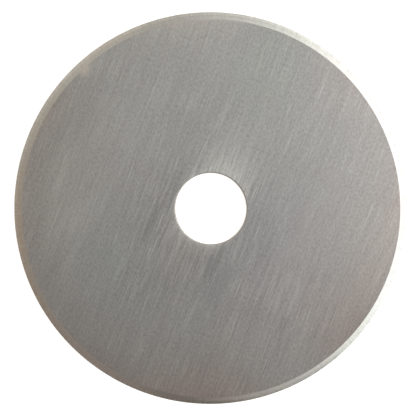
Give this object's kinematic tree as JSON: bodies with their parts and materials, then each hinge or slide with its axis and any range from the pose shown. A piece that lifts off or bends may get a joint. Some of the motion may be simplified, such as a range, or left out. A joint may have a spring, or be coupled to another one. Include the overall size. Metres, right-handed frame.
{
  "type": "rotary cutter blade",
  "caption": "Thin round steel blade with a plain central bore, flat ground faces and a cutting edge bevelled and honed all round its rim.",
  "frame": {"origin": "centre of the bore, midway between the flat faces, in the plane of the cutting edge", "axes": "+Z along the blade's axis of rotation, square to its flat faces; X and Y lie in the plane of the cutting edge"},
  "size_m": [0.045, 0.045, 0.0004],
  "materials": {
    "steel": "hardened tool steel, fine straight grind on the faces, fine crosswise grind on the bevels"
  },
  "bodies": {
    "root": {"blade": "steel"}
  },
  "joints": []
}
